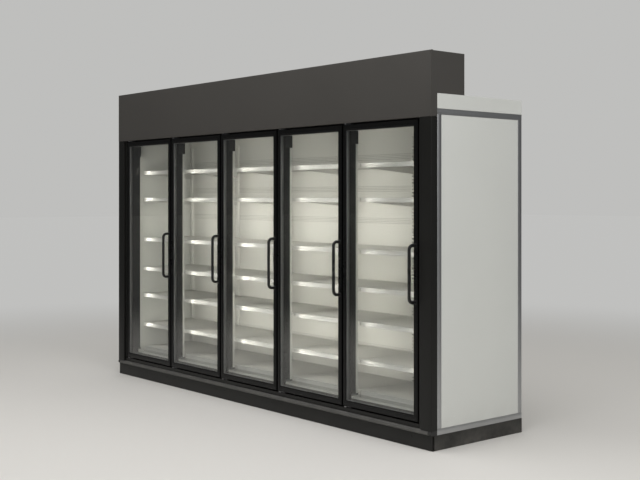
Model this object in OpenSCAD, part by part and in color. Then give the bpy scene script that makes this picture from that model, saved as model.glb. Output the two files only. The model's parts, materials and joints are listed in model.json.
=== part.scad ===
// Refrigerated display case, built into a wall, with a row of glass doors.
// Millimetres. +Z is up, the doors face -Y, and +X is to the right seen from the front.
// The origin is on the floor, in the middle of the whole case with its door pulls.

/* [Door row] */
// Distance from one door's hinge edge to the next door's hinge edge
door_pitch = 762; // [600:1:900]
// Gap between two closed doors
leaf_gap = 6; // [5.5:0.5:10]
// Height of a door leaf
leaf_h = 2000; // [1700:10:2100]
// Thickness of a door leaf
leaf_t = 40; // [36:1:50]
// Width of a leaf's stiles and rails seen from the front
stile_w = 42; // [38:1:60]
// Thickness of the sealed glass unit
glass_t = 22; // [16:1:24]
// Thickness of each of its panes
pane_t = 4; // [3:0.5:6]
// Distance from the leaf's front to the front pane
pane_inset = 4; // [3:0.5:6]
// Depth that the glass unit reaches into the leaf
glass_bite = 11; // [8:1:14]
// Bevel on the leaf's inner edges
bead_bevel = 5; // [2:0.5:6]

/* [Door pull] */
// Length of the pull between its ends
pull_len = 400; // [250:10:600]
// Diameter of the pull's tube
pull_d = 22; // [16:1:30]
// Distance from the leaf's face to the outside of the pull
pull_reach = 70; // [60:1:90]
// Radius of the pull's bends
pull_bend_r = 30; // [24:1:34]
// Height of the pull's middle above the floor
pull_mid_z = 1150; // [900:10:1400]
// Distance from the leaf's free edge to the middle of the pull
pull_inset = 21; // [16:1:30]
// Thickness of the round plates at the pull's feet
pull_foot_t = 4; // [2:0.5:6]
// Rim of a foot plate around the tube
pull_foot_rim = 4; // [2:0.5:5]

/* [Hinges] */
// Diameter of the pivot pins
pin_d = 12; // [8:0.5:14]
// Running clearance around a pivot pin, on the radius
pin_clear = 0.05; // [0.02:0.01:0.1]
// Thickness of the hinge bracket's plates
bracket_t = 6; // [4:0.5:6]
// Length of a hinge bracket along the frame
bracket_w = 64; // [50:1:80]
// Air between a leaf and the bracket above or below it
bracket_air = 6; // [5:0.5:10]
// Air between a pin's end and the frame
pin_end_gap = 0.5; // [0.5:0.5:2]
// Rim of the collar around the lower pin, which carries the leaf
collar_rim = 4; // [2:0.5:6]

/* [Gasket] */
// Thickness of the closed gasket between leaf and frame
seal_gap = 6; // [5:0.5:8]
// Width of the gasket
gasket_w = 12; // [8:1:12]
// Distance from the leaf's edge to the gasket
gasket_inset = 21; // [20:0.5:22]
// Thickness of the gasket's foot and of its magnet pad
gasket_skin_t = 1.5; // [1:0.25:2]
// Width of the bellows between them
bellows_w = 7; // [5:0.5:8]
// Width of the dart that holds the gasket in the leaf
dart_w = 4; // [3:0.5:5]
// Depth of the dart's groove
dart_h = 5; // [3:0.5:6]

/* [Door frame] */
// Width of the frame that each leaf covers all round
frame_lap = 35; // [34:1:50]
// Depth of the frame's head, sill and jambs behind the doors
frame_d = 60; // [40:1:90]
// Width of the frame beside the outer doors
jamb_face_w = 28; // [20:1:60]
// Depth of a mullion
mullion_d = 22; // [20:1:60]
// Thickness of the mullion's front plate, which the gaskets close on
mullion_plate_t = 10; // [6:1:16]
// Step between the front plate and the mullion's body
mullion_step = 6; // [2:1:10]

/* [Lamps] */
// Depth of a lamp housing behind its mullion
lamp_d = 61; // [30:1:80]
// Depth of the lamp housing behind a jamb
end_lamp_d = 23; // [6:1:40]
// Width of a lamp housing at its back
lamp_w = 56; // [40:1:60]
// Depth of the lens on a lamp's back
lens_d = 11; // [6:1:14]
// Width of the flat middle of a lens
lens_flat_w = 12; // [6:1:20]
// Distance from a lamp's end to the frame's head or sill
lamp_end_gap = 40; // [10:5:100]

/* [Cabinet] */
// Thickness of the insulated panels
panel_t = 100; // [60:5:120]
// Depth of the cabinet from the frame's front to its back
case_d = 860; // [700:10:1200]
// Height of the base below the insulated floor
base_h = 100; // [80:5:140]
// Width of a middle base rail
base_rail_w = 60; // [40:5:100]
// Height of the frame's head above the doorways
head_h = 103; // [80:1:160]
// Thickness of the kick panel
kick_t = 20; // [10:1:30]
// Height of the bumper rail
bumper_h = 30; // [20:1:34]
// Distance that the bumper rail stands out from the doors
bumper_reach = 16; // [5:1:40]
// Width and depth of the grooves along the bumper rail
bumper_groove = 2; // [1:0.5:3]
// Angle of a groove above or below the middle of the nose
bumper_groove_turn = 25; // [15:1:40]
// Height of the sill's nose above the bumper rail
sill_nose_h = 30; // [20:1:60]
// Panels side by side in the back wall and the roof
panel_count = 4; // [2:1:6]
// Width and depth of the groove between two panels
seam_w = 4; // [2:0.5:8]

/* [Header] */
// Height of the header's lower edge above the frame's nose
fascia_lift = 1; // [0:1:10]
// Height of the header fascia
fascia_h = 435; // [300:5:600]
// Depth of the header's folded edges
fascia_fold = 18; // [12:1:24]
// Distance that the header and the surrounds stand out from the doors
trim_reach = 12; // [6:1:30]
// Thickness of the sheet in the header, the surrounds and the kick panel
sheet_t = 3; // [2:0.5:4]
// Length of the header's end returns
return_len = 320; // [150:10:500]
// Depth of a header stay on the roof
stay_d = 220; // [100:10:300]
// Thickness of a header stay
stay_t = 6; // [3:0.5:10]
// Width of a stay at its ends
stay_edge = 24; // [10:1:40]

/* [Shelves] */
// Air between the lamps and the price rails
lamp_air = 40; // [6:1:80]
// Gap between two shelves side by side
shelf_side_gap = 8; // [4:1:12]
// Thickness of a shelf's sheet
shelf_sheet_t = 3; // [2:0.5:4]
// Height of a shelf's turned-down edge
shelf_lip = 28; // [20:1:40]
// Height of a shelf bracket at the uprights
shelf_bracket_h = 70; // [60:5:90]
// Thickness of a shelf bracket
shelf_bracket_t = 4; // [2:0.5:6]
// Height of the price rail on each shelf's front
price_rail_h = 34; // [24:1:40]
// Thickness of the price rail
price_rail_t = 6; // [5:0.5:10]
// Height of the deck tray above the insulated floor
deck_h = 60; // [40:5:100]

/* [Uprights] */
// Width of a slotted upright
upright_w = 30; // [28:1:50]
// Depth of a slotted upright
upright_d = 25; // [18:1:40]
// Thickness of the upright's wall
upright_wall_t = 2.5; // [1.5:0.5:3]
// Distance from slot to slot
slot_pitch = 25; // [24:1:32]
// Height of a slot
slot_h = 10; // [9:0.5:12]
// Width of a slot, which takes a hook of the shelf on either side
slot_w = 19; // [19:1:22]
// Height of the lowest slot above the insulated floor
slot_start = 13; // [10:1:30]
// Depth of the hooks behind the upright's wall
hook_d = 3; // [2:0.5:4]
// Drop of the hooks below the slot's edge
hook_drop = 8; // [4:1:10]
// Height of a shelf's top above its upper slot
shelf_over_slot = 18; // [14:1:24]
// Slot that the lowest shelf hangs in
first_shelf_slot = 10; // [8:1:12]
// Slots from each of the lower shelves to the next
lower_steps = [11, 10, 11]; // [7:1:12]
// Slots from the second highest shelf to the highest
top_step = 10; // [7:1:11]
// Slots above the highest shelf's upper slot
head_slots = 9; // [4:1:12]
// Thickness of the rear air panel
air_panel_t = 3; // [2:0.5:6]
// Air duct between the air panel and the back wall
duct_d = 60; // [40:1:90]

/* [Hidden] */
door_count = 5;
lower_tiers = 4;
tier_count = 6;
// Gap between a part and its seat, and the cut that runs past a face
seat_gap = 0.3;
over = 1;
doors = [1:door_count];
$fn = 48;

// Plan sizes
row_w = door_count * door_pitch;
leaf_w = door_pitch - leaf_gap;
frame_w = row_w + leaf_gap + 2 * jamb_face_w;
case_w = frame_w + 2 * panel_t;
doorway_w = leaf_w - 2 * frame_lap;
mullion_w = door_pitch - doorway_w;
end_lamp_w = leaf_gap / 2 + jamb_face_w + lamp_w / 2;

// Places from front to back
case_front_y = -(pull_reach + leaf_t + seal_gap + case_d) / 2 + pull_reach + leaf_t + seal_gap;
case_back_y = case_front_y + case_d;
leaf_back_y = case_front_y - seal_gap;
leaf_front_y = leaf_back_y - leaf_t;
trim_front_y = leaf_front_y - trim_reach;
nose_front_y = trim_front_y + fascia_fold;
frame_back_y = case_front_y + frame_d;
inner_back_y = case_back_y - panel_t;
mullion_back_y = case_front_y + mullion_d;
lamp_back_y = max(mullion_back_y + lamp_d, frame_back_y + end_lamp_d) + lens_d;
shelf_front_y = lamp_back_y + lamp_air + price_rail_t;
upright_back_y = inner_back_y - duct_d - air_panel_t;
shelf_back_y = upright_back_y - upright_d;
shelf_d = shelf_back_y - shelf_front_y;
pane_back = leaf_t - pane_inset - glass_t;

// Heights
leaf_z = base_h + bumper_h + sill_nose_h + bracket_t + bracket_air;
leaf_top_z = leaf_z + leaf_h;
doorway_z = leaf_z + frame_lap;
doorway_top_z = leaf_top_z - frame_lap;
floor_top_z = base_h + panel_t;
roof_z = doorway_top_z + head_h;
roof_top_z = roof_z + panel_t;
head_nose_z = leaf_top_z + bracket_air + bracket_t;
sill_nose_top_z = leaf_z - bracket_air - bracket_t;
fascia_z = head_nose_z + fascia_lift;
fascia_top_z = fascia_z + fascia_h;
deck_top_z = floor_top_z + deck_h;
lamp_z = doorway_z + lamp_end_gap;
lamp_len = doorway_top_z - lamp_end_gap - lamp_z;

// Hinge axis: the middle of the round hinge edge
pivot_r = leaf_t / 2;
pivot_y = leaf_back_y - pivot_r;

// Slots are numbered from 0 at the floor
slot_count = floor((doorway_top_z - floor_top_z - slot_start - slot_h) / slot_pitch) + 1;
top_shelf_slot = slot_count - 1 - head_slots;
function slot_z(k) = floor_top_z + slot_start + k * slot_pitch;

// The lower shelves are counted up from the floor, the two upper ones down from the top
function shelf_slot(tier) =
    tier == 1 ? first_shelf_slot
    : tier <= lower_tiers ? shelf_slot(tier - 1) + lower_steps[tier - 2]
    : top_shelf_slot - (tier_count - tier) * top_step;
function shelf_top_z(tier) = slot_z(shelf_slot(tier)) + shelf_over_slot;

// Left edge of a closed leaf, and its hinge axis
function leaf_x(i) = -row_w / 2 + (i - 1) * door_pitch + leaf_gap / 2;
function pivot_x(i) = leaf_x(i) + pivot_r;
function pitch_line_x(i) = -row_w / 2 + i * door_pitch;

// A box between two corners
module block(low, high) {
    translate(low) cube(high - low);
}

// The same shape at both ends of the case
module both_ends() {
    children();
    mirror([1, 0, 0]) children();
}

// A profile drawn with y to the back and z up, carried along the whole width
module along_width(w) {
    translate([-w / 2, 0, 0]) rotate([90, 0, 90]) linear_extrude(w) children();
}

// Section of a sheet folded back at its top and its bottom
module folded_section(depth, height) {
    difference() {
        square([depth, height]);
        translate([sheet_t, sheet_t]) square([depth, height - 2 * sheet_t]);
    }
}

// Grooves between the panels of a wall or roof, cut from low to high
module seams(low, high) {
    for (i = [1:panel_count - 1])
        block([-frame_w / 2 + i * frame_w / panel_count - seam_w / 2, low[0], low[1]],
              [-frame_w / 2 + i * frame_w / panel_count + seam_w / 2, high[0], high[1]]);
}

module base_rails() {
    color("dimgray")
    for (i = [0:door_count]) {
        outer = i == 0 || i == door_count;
        w = outer ? panel_t : base_rail_w;
        x = outer ? sign(i - 0.5) * (case_w - panel_t) / 2 : pitch_line_x(i);
        block([x - w / 2, leaf_front_y + kick_t, 0], [x + w / 2, case_back_y, base_h]);
    }
}

module kick_panel() {
    color([0.08, 0.08, 0.08])
    translate([0, leaf_front_y, 0]) along_width(case_w) folded_section(kick_t, base_h);
}

// A half-round nose with two grooves along a flat rail
module bumper_rail() {
    nose_r = bumper_h / 2;
    color([0.3, 0.3, 0.29])
    translate([0, leaf_front_y - bumper_reach + nose_r, base_h]) along_width(case_w)
    difference() {
        union() {
            translate([0, nose_r]) circle(nose_r);
            square([seal_gap + leaf_t + bumper_reach - nose_r, bumper_h]);
        }
        for (turn = [-1, 1])
            translate([0, nose_r]) rotate(180 + turn * bumper_groove_turn)
            translate([nose_r - bumper_groove, -bumper_groove / 2]) square([bumper_groove * 2, bumper_groove]);
    }
}

module floor_slab() {
    color([0.8, 0.81, 0.78])
    block([-frame_w / 2, frame_back_y, base_h], [frame_w / 2, inner_back_y, floor_top_z]);
}

module end_walls() {
    color([0.8, 0.81, 0.78])
    both_ends() block([frame_w / 2, case_front_y, base_h], [case_w / 2, case_back_y, roof_z]);
}

module back_wall() {
    color([0.8, 0.81, 0.78])
    difference() {
        block([-frame_w / 2, inner_back_y, base_h], [frame_w / 2, case_back_y, roof_z]);
        seams([case_back_y - seam_w, base_h - over], [case_back_y + over, roof_z + over]);
    }
}

module roof_panel() {
    color([0.8, 0.81, 0.78])
    difference() {
        block([-case_w / 2, case_front_y, roof_z], [case_w / 2, case_back_y, roof_top_z]);
        seams([case_front_y - over, roof_top_z - seam_w], [case_back_y + over, roof_top_z + over]);
    }
}

// Frame parts are L-shaped, with a nose that reaches out beside the leaves
module frame_sill() {
    color([0.07, 0.07, 0.07]) {
        block([-frame_w / 2, nose_front_y, base_h + bumper_h], [frame_w / 2, case_front_y, sill_nose_top_z]);
        block([-frame_w / 2, case_front_y, base_h], [frame_w / 2, frame_back_y, doorway_z]);
    }
}

module frame_head() {
    color([0.07, 0.07, 0.07]) {
        block([-frame_w / 2, nose_front_y, head_nose_z], [frame_w / 2, case_front_y, roof_z]);
        block([-frame_w / 2, case_front_y, doorway_top_z], [frame_w / 2, frame_back_y, roof_z]);
    }
}

module frame_jambs() {
    color([0.07, 0.07, 0.07])
    both_ends() {
        block([frame_w / 2 - jamb_face_w, nose_front_y, sill_nose_top_z],
              [frame_w / 2, case_front_y, head_nose_z]);
        block([row_w / 2 - mullion_w / 2, case_front_y, doorway_z], [frame_w / 2, frame_back_y, doorway_top_z]);
    }
}

module frame_mullions() {
    color([0.12, 0.12, 0.12])
    for (i = [1:door_count - 1])
        translate([pitch_line_x(i), case_front_y, doorway_z])
        linear_extrude(doorway_top_z - doorway_z) {
            translate([-mullion_w / 2, 0]) square([mullion_w, mullion_plate_t]);
            translate([-mullion_w / 2 + mullion_step, 0]) square([mullion_w - 2 * mullion_step, mullion_d]);
        }
}

// A plate on the frame with a round nose around the pin
module hinge_brackets() {
    nose_r = pivot_y - nose_front_y;
    color([0.35, 0.35, 0.36])
    for (i = doors, z = [sill_nose_top_z, head_nose_z - bracket_t])
        translate([pivot_x(i), pivot_y, z]) linear_extrude(bracket_t)
        difference() {
            union() {
                circle(nose_r);
                translate([-nose_r, 0]) square([bracket_w, case_front_y - pivot_y]);
            }
            circle(pin_d / 2 + pin_clear);
        }
}

// Section of a lamp housing behind a mullion, from the mullion's back
module lamp_section() {
    half = mullion_w / 2 - mullion_step;
    polygon([[-half, 0], [half, 0], [lamp_w / 2, lamp_d], [-lamp_w / 2, lamp_d]]);
}

// Its lens, which slopes back from both edges so that it can't be seen from the doors
module lens_section() {
    polygon([[-lamp_w / 2, 0], [lamp_w / 2, 0], [lens_flat_w / 2, lens_d], [-lens_flat_w / 2, lens_d]]);
}

// The housing in the corner between a jamb and the end wall, and its lens with one slope
module end_lamp_section() {
    translate([-end_lamp_w, 0]) square([end_lamp_w, end_lamp_d]);
}

module end_lens_section() {
    slope = (lamp_w - lens_flat_w) / 2;
    polygon([[-end_lamp_w, 0], [0, 0], [0, lens_d], [slope - end_lamp_w, lens_d]]);
}

module lamp_housings() {
    color([0.6, 0.6, 0.58]) {
        for (i = [1:door_count - 1])
            translate([pitch_line_x(i), mullion_back_y, lamp_z]) linear_extrude(lamp_len) lamp_section();
        both_ends()
            translate([frame_w / 2, frame_back_y, lamp_z]) linear_extrude(lamp_len) end_lamp_section();
    }
}

module lamp_lenses() {
    color([0.97, 1, 0.96]) {
        for (i = [1:door_count - 1])
            translate([pitch_line_x(i), mullion_back_y + lamp_d, lamp_z]) linear_extrude(lamp_len)
                lens_section();
        both_ends()
            translate([frame_w / 2, frame_back_y + end_lamp_d, lamp_z]) linear_extrude(lamp_len)
                end_lens_section();
    }
}

// A sheet folded back on both sides, in front of the end wall's edge
module side_surrounds() {
    depth = case_front_y - trim_front_y;
    color([0.1, 0.1, 0.1])
    both_ends()
        translate([frame_w / 2, trim_front_y, base_h + bumper_h]) linear_extrude(fascia_z - base_h - bumper_h)
        difference() {
            square([panel_t, depth]);
            translate([sheet_t, sheet_t]) square([panel_t - 2 * sheet_t, depth]);
        }
}

module header_fascia() {
    color([0.27, 0.26, 0.25])
    translate([0, trim_front_y, fascia_z]) along_width(case_w) folded_section(fascia_fold, fascia_h);
}

// Plates that close the header's ends and stays that hold its face, all standing on the roof
module header_returns() {
    front = sheet_t;
    case_front = case_front_y - trim_front_y;
    roof = roof_top_z - fascia_z;
    top = fascia_h - sheet_t;
    color([0.27, 0.26, 0.25])
    translate([0, trim_front_y, fascia_z]) {
        both_ends()
            translate([case_w / 2 - sheet_t, 0, 0]) rotate([90, 0, 90]) linear_extrude(sheet_t)
            polygon([[front, front], [case_front, front], [case_front, roof], [return_len, roof],
                     [return_len, top], [front, top]]);
        for (i = [1:door_count - 1])
            translate([pitch_line_x(i) - stay_t / 2, 0, 0]) rotate([90, 0, 90]) linear_extrude(stay_t)
            polygon([[front, roof], [stay_d, roof], [stay_d, roof + stay_edge], [front + stay_edge, top],
                     [front, top]]);
    }
}

module air_panel() {
    color([0.86, 0.87, 0.84])
    block([-frame_w / 2, upright_back_y, floor_top_z],
          [frame_w / 2, upright_back_y + air_panel_t, roof_z]);
}

// A channel open to the back, with a column of slots in its front wall
module shelf_uprights() {
    h = doorway_top_z - floor_top_z;
    color([0.75, 0.76, 0.74])
    for (i = [0:door_count])
        translate([pitch_line_x(i) - upright_w / 2, shelf_back_y, floor_top_z]) {
            translate([0, upright_wall_t, 0]) rotate([90, 0, 0]) linear_extrude(upright_wall_t)
            difference() {
                square([upright_w, h]);
                for (k = [0:slot_count - 1])
                    translate([(upright_w - slot_w) / 2, slot_start + k * slot_pitch])
                    square([slot_w, slot_h]);
            }
            for (x = [0, upright_w - upright_wall_t])
                translate([x, 0, 0]) cube([upright_wall_t, upright_d, h]);
        }
}

// A tray with its edges turned down
module shelf_tray(lip) {
    w = door_pitch - shelf_side_gap;
    difference() {
        block([-w / 2, 0, -lip], [w / 2, shelf_d, 0]);
        block([-w / 2 + shelf_sheet_t, shelf_sheet_t, -lip - over],
              [w / 2 - shelf_sheet_t, shelf_d - shelf_sheet_t, -shelf_sheet_t]);
    }
}

// A tapered plate with two hooks that drop behind the upright's wall
module shelf_bracket() {
    wall = shelf_d + upright_wall_t + seat_gap;
    rotate([90, 0, 90])
    linear_extrude(shelf_bracket_t) {
        polygon([[shelf_sheet_t, -shelf_sheet_t], [shelf_sheet_t, -shelf_lip], [shelf_d, -shelf_bracket_h],
                 [shelf_d, -shelf_sheet_t]]);
        for (k = [0, 1]) {
            edge = -shelf_over_slot - k * slot_pitch;
            translate([shelf_d - over, edge + seat_gap])
                square([wall + hook_d - shelf_d + over, slot_h - over - seat_gap]);
            translate([wall, edge - hook_drop]) square([hook_d, hook_drop + slot_h - over]);
        }
    }
}

module shelf(x, z) {
    w = door_pitch - shelf_side_gap;
    translate([x, shelf_front_y, z]) {
        shelf_tray(shelf_lip);
        translate([-w / 2, 0, 0]) shelf_bracket();
        translate([w / 2 - shelf_bracket_t, 0, 0]) shelf_bracket();
    }
}

module shelf_tier(tier) {
    color([0.88, 0.89, 0.86])
    for (i = doors)
        shelf(pitch_line_x(i) - door_pitch / 2, shelf_top_z(tier));
}

module deck_trays() {
    color([0.88, 0.89, 0.86])
    for (i = doors)
        translate([pitch_line_x(i) - door_pitch / 2, shelf_front_y, deck_top_z]) shelf_tray(deck_h);
}

// A rail with two lips that hold a strip of paper tags
module price_rails() {
    w = door_pitch - shelf_side_gap;
    lip = price_rail_t / 2;
    color([0.95, 0.95, 0.93])
    for (i = doors, z = [deck_top_z, for (tier = [1:tier_count]) shelf_top_z(tier)])
        translate([pitch_line_x(i) - door_pitch / 2, shelf_front_y, z - price_rail_h]) along_width(w)
        polygon([[0, 0], [-price_rail_t, 0], [-price_rail_t, lip], [-lip, 2 * lip],
                 [-lip, price_rail_h - 2 * lip], [-price_rail_t, price_rail_h - lip],
                 [-price_rail_t, price_rail_h], [0, price_rail_h]]);
}

// Section of a leaf's bars: x runs from the outer edge to the glass, y from the back to the front
module bar_section(round_edge) {
    start = round_edge ? pivot_r : 0;
    difference() {
        union() {
            if (round_edge) translate([pivot_r, pivot_r]) circle(pivot_r);
            polygon([[start, 0], [stile_w - bead_bevel, 0], [stile_w, bead_bevel],
                     [stile_w, leaf_t - bead_bevel], [stile_w - bead_bevel, leaf_t], [start, leaf_t]]);
        }
        for (y = [pane_back, pane_back + glass_t - pane_t])
            translate([stile_w - glass_bite, y]) square([glass_bite + over, pane_t]);
    }
}

// A flat frame around the leaf, given by its distance from the leaf's edge and its width
module ring(inset, width, back_y, front_y) {
    difference() {
        block([inset, front_y, leaf_z + inset], [leaf_w - inset, back_y, leaf_top_z - inset]);
        block([inset + width, front_y - over, leaf_z + inset + width],
              [leaf_w - inset - width, back_y + over, leaf_top_z - inset - width]);
    }
}

module leaf_rail() {
    start = stile_w - glass_bite - over;
    translate([start, 0, 0]) rotate([180, 0, 0]) rotate([0, 90, 0])
        linear_extrude(leaf_w - 2 * start) bar_section(false);
}

// Four bars around the glass, a groove for the gasket and the pivot pins on the hinge axis
module door_leaf(i) {
    color([0.06, 0.06, 0.06])
    translate([leaf_x(i), 0, 0]) {
        difference() {
            union() {
                translate([0, leaf_back_y, leaf_z]) mirror([0, 1, 0]) linear_extrude(leaf_h) bar_section(true);
                translate([leaf_w, leaf_back_y, leaf_z]) rotate([0, 0, 180]) linear_extrude(leaf_h)
                    bar_section(false);
                translate([0, leaf_back_y, leaf_z]) leaf_rail();
                translate([0, leaf_back_y, leaf_top_z]) mirror([0, 0, 1]) leaf_rail();
            }
            ring(gasket_inset + (gasket_w - dart_w) / 2, dart_w, leaf_back_y + over, leaf_back_y - dart_h);
        }
        translate([pivot_r, pivot_y, leaf_top_z - over])
            cylinder(h = bracket_air + bracket_t - pin_end_gap + over, d = pin_d);
        translate([pivot_r, pivot_y, sill_nose_top_z + pin_end_gap])
            cylinder(h = bracket_air + bracket_t - pin_end_gap + over, d = pin_d);
        translate([pivot_r, pivot_y, sill_nose_top_z + bracket_t + seat_gap])
            cylinder(h = bracket_air - seat_gap + over, d = pin_d + 2 * collar_rim);
    }
}

// Two panes with air between them
module door_glass(i) {
    edge = stile_w - glass_bite;
    color([0.75, 0.85, 0.8, 0.4])
    translate([leaf_x(i), leaf_back_y, 0])
    for (y = [pane_back, pane_back + glass_t - pane_t])
        block([edge, -y - pane_t, leaf_z + edge], [leaf_w - edge, -y, leaf_top_z - edge]);
}

// A bent tube on two round foot plates
module door_pull(i) {
    r = pull_d / 2;
    leg = pull_reach - r - pull_bend_r;
    straight = pull_len - pull_d - 2 * pull_bend_r;
    color([0.05, 0.05, 0.05])
    translate([leaf_x(i) + leaf_w - pull_inset, leaf_front_y, pull_mid_z]) {
        translate([0, -leg - pull_bend_r, -straight / 2]) cylinder(h = straight, r = r);
        for (end = [0, 1]) mirror([0, 0, end]) {
            translate([0, -leg, straight / 2]) rotate([90, 0, -90]) rotate_extrude(angle = 90)
                translate([pull_bend_r, 0]) circle(r);
            translate([0, 0, straight / 2 + pull_bend_r]) rotate([90, 0, 0]) cylinder(h = leg, r = r);
            translate([0, 0, straight / 2 + pull_bend_r]) rotate([90, 0, 0])
                cylinder(h = pull_foot_t, r = r + pull_foot_rim);
        }
    }
}

// A foot and a magnet pad with a narrower bellows between them, held by a dart in the leaf's groove
module door_gasket(i) {
    middle = gasket_inset + gasket_w / 2;
    face_y = case_front_y - seat_gap;
    color([0.15, 0.15, 0.15])
    translate([leaf_x(i), 0, 0]) {
        ring(gasket_inset, gasket_w, leaf_back_y + gasket_skin_t, leaf_back_y);
        ring(middle - bellows_w / 2, bellows_w, face_y, leaf_back_y);
        ring(gasket_inset, gasket_w, face_y, face_y - gasket_skin_t);
        ring(middle - dart_w / 2, dart_w, leaf_back_y + over, leaf_back_y - dart_h);
    }
}

base_rails();
kick_panel();
bumper_rail();
floor_slab();
end_walls();
back_wall();
roof_panel();
frame_sill();
frame_head();
frame_jambs();
frame_mullions();
hinge_brackets();
lamp_housings();
lamp_lenses();
side_surrounds();
header_fascia();
header_returns();
air_panel();
shelf_uprights();
deck_trays();
price_rails();
for (tier = [1:tier_count])
    shelf_tier(tier);
for (i = doors) {
    door_leaf(i);
    door_glass(i);
    door_pull(i);
    door_gasket(i);
}
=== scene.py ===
import json
import math

import bmesh
import bpy
import numpy as np
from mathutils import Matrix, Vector

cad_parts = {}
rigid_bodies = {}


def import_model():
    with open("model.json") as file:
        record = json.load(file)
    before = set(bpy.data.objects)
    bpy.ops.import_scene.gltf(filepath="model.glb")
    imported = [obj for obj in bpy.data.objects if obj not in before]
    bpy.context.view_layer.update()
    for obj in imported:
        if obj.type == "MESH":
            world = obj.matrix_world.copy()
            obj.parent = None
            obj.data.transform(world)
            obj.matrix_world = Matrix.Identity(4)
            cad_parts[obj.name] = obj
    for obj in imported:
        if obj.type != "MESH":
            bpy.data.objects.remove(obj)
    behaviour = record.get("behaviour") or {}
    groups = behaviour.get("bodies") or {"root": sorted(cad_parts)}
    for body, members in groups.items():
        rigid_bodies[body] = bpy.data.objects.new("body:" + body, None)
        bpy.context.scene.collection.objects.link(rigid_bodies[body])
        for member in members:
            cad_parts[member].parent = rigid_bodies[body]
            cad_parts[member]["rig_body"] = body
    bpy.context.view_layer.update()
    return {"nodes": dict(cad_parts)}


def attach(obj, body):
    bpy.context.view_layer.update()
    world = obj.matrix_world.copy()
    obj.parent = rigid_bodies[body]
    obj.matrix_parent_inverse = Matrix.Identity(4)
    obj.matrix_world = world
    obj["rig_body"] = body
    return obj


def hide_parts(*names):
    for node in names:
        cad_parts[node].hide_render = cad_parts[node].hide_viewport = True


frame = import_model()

bl_info = {
    "name": "Glass-door display case",
    "version": (1, 0, 0),
    "blender": (4, 5, 0),
    "location": "3D View > Sidebar > Display case",
    "description": "Dresses the frame of a refrigerated display case with its doors, trim, fittings and finishes",
    "category": "Add Mesh",
}

DOORS = sorted(name[:-6] for name in frame["nodes"] if name.endswith("_glass"))
LENS_HALF = 0.0286  # Half the width of a lamp on a mullion, at its lens


def points_of(node):
    """The points of a node of the frame."""
    mesh = frame["nodes"][node].data
    points = np.empty(len(mesh.vertices) * 3)
    mesh.vertices.foreach_get("co", points)
    return points.reshape(-1, 3)


def low_high(node, left=-math.inf, right=math.inf):
    """Lowest and highest corner of a node of the frame, or of its points between two places along x."""
    points = points_of(node)
    points = points[(points[:, 0] >= left) & (points[:, 0] <= right)]
    return points.min(0), points.max(0)


def door_box(door):
    """Of a door: the lowest and highest corner of its leaf, how far the leaf's bars lap beyond the glass unit, the
    bars' outer rectangle as x and z, and the depths of the glass unit's faces behind the leaf's front."""
    low, high = low_high(door + "_leaf")
    glass_low, glass_high = low_high(door + "_glass")
    lap = glass_low[0] - low[0]
    outer = [(low[0], glass_low[2] - lap), (high[0], glass_high[2] + lap)]
    return low, high, lap, outer, (glass_low[1] - low[1], glass_high[1] - low[1])


def lamp_lines():
    """Where the lamps on the mullions stand: halfway between the doors' panes."""
    panes = [low_high(door + "_glass") for door in DOORS]
    return [float(a[1][0] + b[0][0]) / 2 for a, b in zip(panes, panes[1:])]


def lamp_boxes(node):
    """Lowest and highest corner of a lamp node's part on the mullions, and of its part by the right end wall."""
    (_, first), (last, end) = low_high(DOORS[0] + "_glass"), low_high(DOORS[-1] + "_glass")
    return low_high(node, first[0], last[0]), low_high(node, end[0])


# ---- Surfaces ----

def grid(rows, columns, close_rows=False, close_columns=True):
    """Four-sided faces between the points of a grid that is numbered row by row."""
    r = np.arange(rows if close_rows else rows - 1)[:, None]
    c = np.arange(columns if close_columns else columns - 1)[None, :]
    r_next, c_next = (r + 1) % rows, (c + 1) % columns
    faces = np.stack([r * columns + c, r * columns + c_next, r_next * columns + c_next, r_next * columns + c], -1)
    return faces.reshape(-1, 4)


def rectangle(x0, y0, x1, y1):
    """The corners of a rectangle."""
    return [(x0, y0), (x1, y0), (x1, y1), (x0, y1)]


def mirrored(side):
    """An outline of the given right half and its mirror image."""
    return side + [(-u, v) for u, v in side[::-1]]


def rounded(corners, radii, steps=4):
    """A closed outline with rounded corners. Each corner gives way to an arc that touches both of its edges: the
    arc's centre is on the corner's bisector, at the radius over the sine of half the corner's angle."""
    p = np.asarray(corners, float)
    r = np.broadcast_to(np.asarray(radii, float), len(p))[:, None]
    a, b = np.roll(p, 1, 0) - p, np.roll(p, -1, 0) - p
    a /= np.linalg.norm(a, axis=1, keepdims=True)
    b /= np.linalg.norm(b, axis=1, keepdims=True)
    half = np.arccos(np.clip((a * b).sum(1, keepdims=True), -1, 1)) / 2
    middle = (a + b) / np.linalg.norm(a + b, axis=1, keepdims=True)
    centre = middle * r / np.sin(half)
    turn = np.pi - 2 * half
    s = np.linspace(0, 1, steps + 1)[None, :]
    start, end = a * r / np.tan(half) - centre, b * r / np.tan(half) - centre
    arc = (np.sin((1 - s) * turn)[..., None] * start[:, None] + np.sin(s * turn)[..., None] * end[:, None])
    return ((p + centre)[:, None] + arc / np.sin(turn)[..., None]).reshape(-1, 2)


def outward(points, faces):
    """A shape with its faces turned outwards: the sum of its corner tetrahedra is its volume, which is positive
    when they point outwards."""
    volume = 0.0
    for size in {len(face) for face in faces}:
        corner = points[np.array([face for face in faces if len(face) == size])]
        fan = np.cross(corner[:, 1:-1] - corner[:, :1], corner[:, 2:] - corner[:, :1])
        volume += np.einsum("ijk,ik->", fan, corner[:, 0])
    return points, faces if volume > 0 else [face[::-1] for face in faces]


def carried(sections, close_path=False):
    """A surface through sections of equal length, with flat ends where the path is open."""
    count, size = sections.shape[:2]
    faces = grid(count, size, close_rows=close_path).tolist()
    if not close_path:
        faces += [list(range(size)), list(range((count - 1) * size, count * size))]
    return outward(sections.reshape(-1, 3), faces)


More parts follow.
